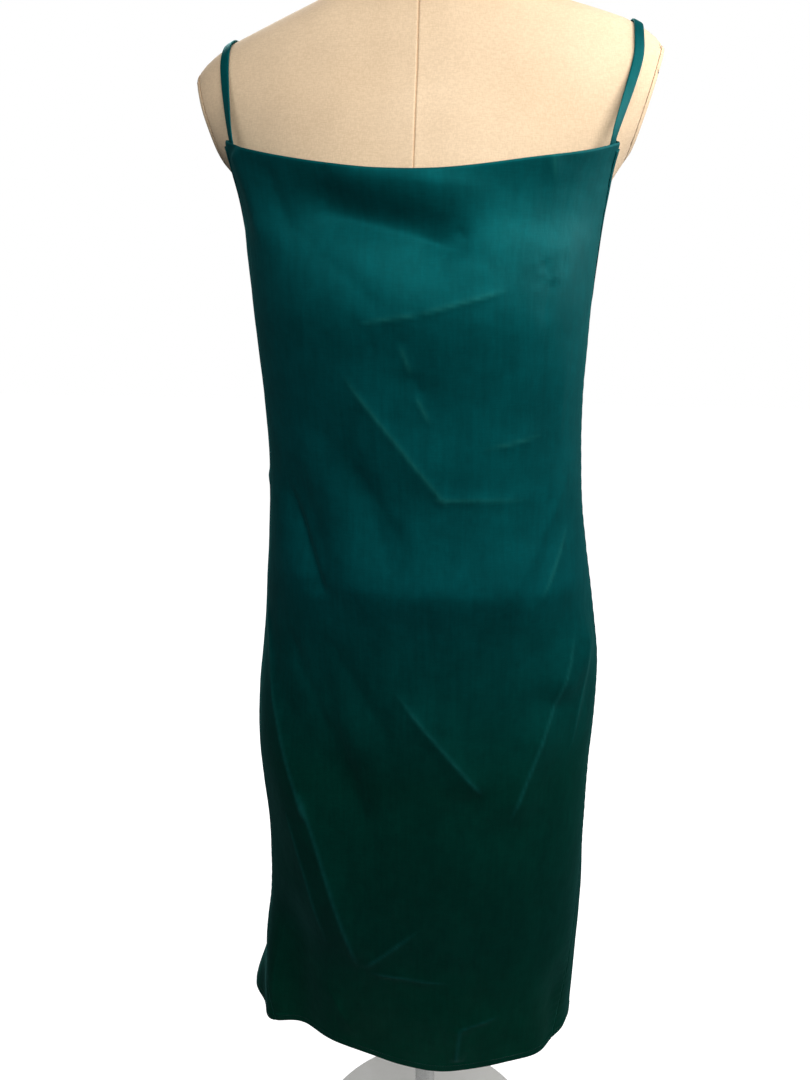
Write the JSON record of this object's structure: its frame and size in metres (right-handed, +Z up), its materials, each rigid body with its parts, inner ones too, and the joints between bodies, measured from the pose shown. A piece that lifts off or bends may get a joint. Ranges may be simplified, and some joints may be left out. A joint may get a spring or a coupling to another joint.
{
  "type": "slip dress on a dress form",
  "caption": "Satin midi slip dress with narrow shoulder straps and a softly draped front, worn by a limbless dress form on a round stand.",
  "frame": {"origin": "centre of the base plate's underside, on the axis of the pole", "axes": "+Z up, -Y towards the dress's front, +X to the right as seen from the front"},
  "size_m": [0.4334, 0.35, 1.5333],
  "materials": {
    "satin": "dark teal satin with a soft sheen",
    "form_cover": "cream woven cover, matt",
    "enamel": "off-white enamel, satin gloss",
    "steel": "brushed steel tube"
  },
  "bodies": {
    "root": {"dress_front": "satin", "dress_back": "satin", "strap_left": "satin", "strap_right": "satin", "armhole_binding_left": "satin", "armhole_binding_right": "satin", "form_torso": "form_cover", "form_arm_plate_left": "form_cover", "form_arm_plate_right": "form_cover", "form_neck_cap": "enamel", "stand_pole": "steel", "stand_base": "enamel"}
  },
  "joints": []
}
